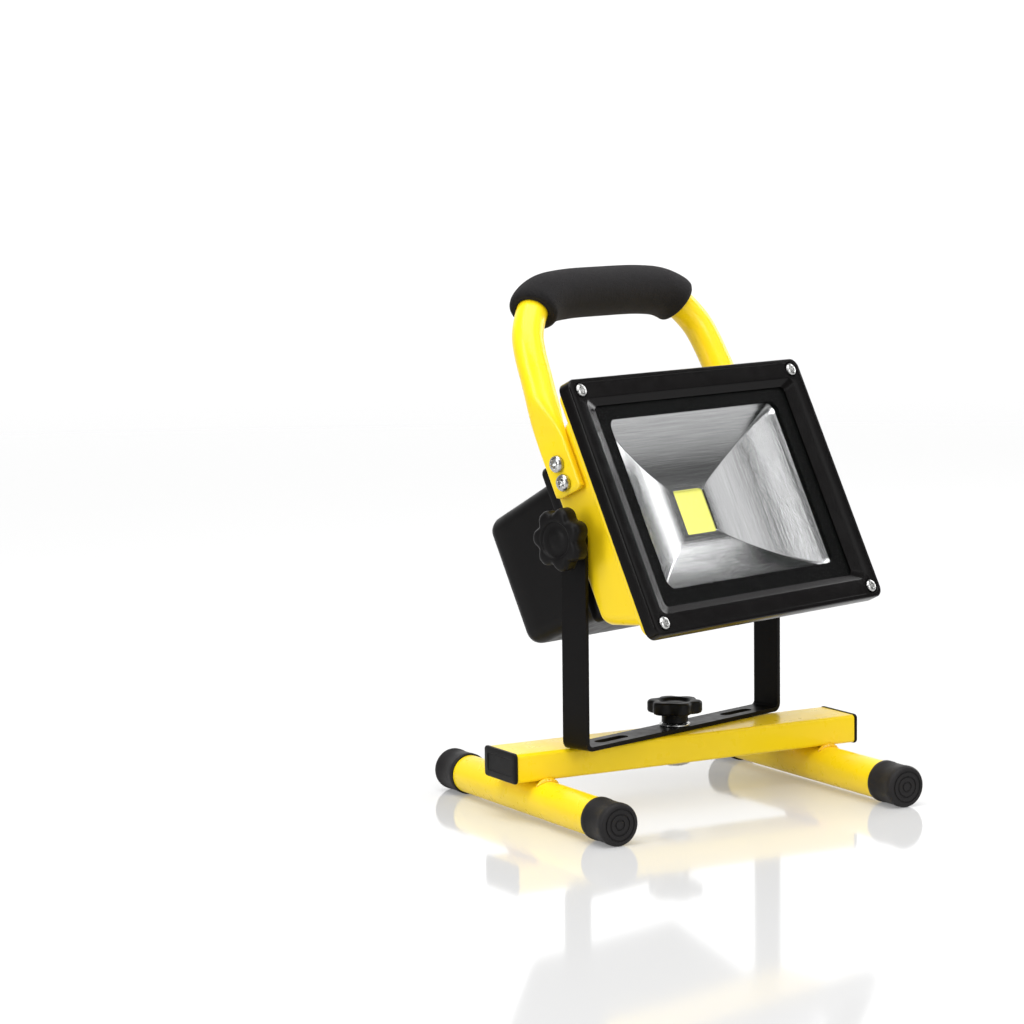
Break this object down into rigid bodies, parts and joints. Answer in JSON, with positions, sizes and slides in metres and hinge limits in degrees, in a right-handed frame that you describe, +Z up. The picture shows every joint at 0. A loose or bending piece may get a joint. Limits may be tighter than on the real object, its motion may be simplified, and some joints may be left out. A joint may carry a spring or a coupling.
{
  "type": "rechargeable led work light",
  "caption": "Portable rechargeable LED work light: tilting flood head with foam-covered carrying handle, swivelling U bracket and H-shaped floor stand.",
  "frame": {"origin": "On the ground under the swivel bolt, at the middle of the H-shaped stand", "axes": "+Z up; X along the cross bar; -Y the side the lamp faces, turned 17.5 degrees on its swivel"},
  "size_m": [0.2085, 0.1774, 0.2728],
  "materials": {
    "yellow_paint": "gloss yellow powder coat on steel",
    "yellow_housing": "gloss yellow powder coat on cast aluminium",
    "black_bezel": "satin black powder coat on cast aluminium",
    "black_paint": "satin black powder coat on steel strip",
    "black_plastic": "fine grained black moulding",
    "black_rubber": "dull black rubber",
    "black_foam": "soft matt foam sleeve",
    "zinc_steel": "bright zinc plating",
    "brushed_reflector": "brushed bright aluminium",
    "clear_glass": "clear toughened glass with a black printed border",
    "phosphor": "smooth pale yellow phosphor",
    "board_metal": "white coated aluminium board",
    "board_green": "green solder mask",
    "cell_sleeve": "blue shrink sleeve",
    "red_plastic": "gloss red moulding",
    "grey_silicone": "soft grey silicone"
  },
  "bodies": {
    "stand": {"cross_bar": "yellow_paint", "bar_end_plug_left": "black_plastic", "bar_end_plug_right": "black_plastic", "foot_tube_left": "yellow_paint", "foot_cap_front_left": "black_rubber", "foot_cap_rear_left": "black_rubber", "foot_tube_right": "yellow_paint", "foot_cap_front_right": "black_rubber", "foot_cap_rear_right": "black_rubber", "swivel_bolt": "zinc_steel"},
    "bracket": {"u_bracket": "black_paint"},
    "swivel_washer": {"swivel_washer": "zinc_steel"},
    "swivel_knob": {"swivel_knob": "black_plastic", "swivel_knob_insert": "zinc_steel"},
    "tilt_washer_left": {"tilt_washer_left": "zinc_steel"},
    "tilt_knob_left": {"tilt_knob_left": "black_plastic", "tilt_stud_left": "zinc_steel"},
    "tilt_washer_right": {"tilt_washer_right": "zinc_steel"},
    "tilt_knob_right": {"tilt_knob_right": "black_plastic", "tilt_stud_right": "zinc_steel"},
    "switch_rocker": {"switch_rocker": "red_plastic"},
    "lamp_head": {"housing": "yellow_housing", "bezel": "black_bezel", "front_glass": "clear_glass", "glass_gasket": "grey_silicone", "reflector": "brushed_reflector", "led_board": "board_metal", "led_emitter": "phosphor", "bezel_screw_1": "zinc_steel", "bezel_screw_2": "zinc_steel", "bezel_screw_3": "zinc_steel", "bezel_screw_4": "zinc_steel", "handle_screw_left_1": "zinc_steel", "handle_screw_left_2": "zinc_steel", "handle_screw_right_1": "zinc_steel", "handle_screw_right_2": "zinc_steel", "box_screw_1": "zinc_steel", "box_screw_2": "zinc_steel", "box_screw_3": "zinc_steel", "box_screw_4": "zinc_steel", "handle_tube": "yellow_paint", "foam_grip": "black_foam", "battery_plate": "black_plastic", "battery_box": "black_plastic", "battery_cell_1": "cell_sleeve", "battery_cell_2": "cell_sleeve", "battery_cell_3": "cell_sleeve", "battery_cell_4": "cell_sleeve", "battery_cell_5": "cell_sleeve", "battery_cell_6": "cell_sleeve", "cell_holder_left": "black_plastic", "cell_holder_right": "black_plastic", "control_board": "board_green", "charge_socket": "black_plastic", "indicator_lens": "red_plastic", "switch_frame": "black_plastic", "led_lead": "black_rubber", "lead_grommet": "black_rubber"}
  },
  "joints": [
    {"name": "bracket_swivel", "type": "hinge", "parent": "stand", "child": "bracket", "pos_m": [0, 0, 0.0358], "axis": [0, 0, 1], "continuous": true},
    {"name": "lamp_tilt", "type": "hinge", "parent": "bracket", "child": "lamp_head", "pos_m": [0, 0, 0.143], "axis": [-0.9537, -0.3007, 0], "range_deg": [-40, 105]},
    {"name": "swivel_knob_travel", "type": "slide", "parent": "bracket", "child": "swivel_washer", "axis": [0, 0, 1], "range_m": [0, 0.0025]},
    {"name": "swivel_knob_turn", "type": "hinge", "parent": "swivel_washer", "child": "swivel_knob", "pos_m": [0, 0, 0.0396], "axis": [0, 0, 1], "range_deg": [0, 720]},
    {"name": "tilt_knob_left_travel", "type": "slide", "parent": "lamp_head", "child": "tilt_washer_left", "axis": [-0.9537, -0.3007, 0], "range_m": [0, 0.002]},
    {"name": "tilt_knob_left_turn", "type": "hinge", "parent": "tilt_washer_left", "child": "tilt_knob_left", "pos_m": [-0.07496, -0.02363, 0.143], "axis": [-0.9537, -0.3007, 0], "range_deg": [0, 720]},
    {"name": "tilt_knob_right_travel", "type": "slide", "parent": "lamp_head", "child": "tilt_washer_right", "axis": [0.9537, 0.3007, 0], "range_m": [0, 0.002]},
    {"name": "tilt_knob_right_turn", "type": "hinge", "parent": "tilt_washer_right", "child": "tilt_knob_right", "pos_m": [0.07496, 0.02363, 0.143], "axis": [0.9537, 0.3007, 0], "range_deg": [0, 720]},
    {"name": "switch_rock", "type": "hinge", "parent": "lamp_head", "child": "switch_rocker", "pos_m": [0.02132, 0.07273, 0.11076], "axis": [-0.9537, -0.3007, 0], "range_deg": [0, 16]}
  ],
  "couplings": [
    {"joint": "swivel_knob_turn", "follows": "swivel_knob_travel", "rad_per_m": 5026.6},
    {"joint": "tilt_knob_left_turn", "follows": "tilt_knob_left_travel", "rad_per_m": 6283.2},
    {"joint": "tilt_knob_right_turn", "follows": "tilt_knob_right_travel", "rad_per_m": 6283.2}
  ]
}
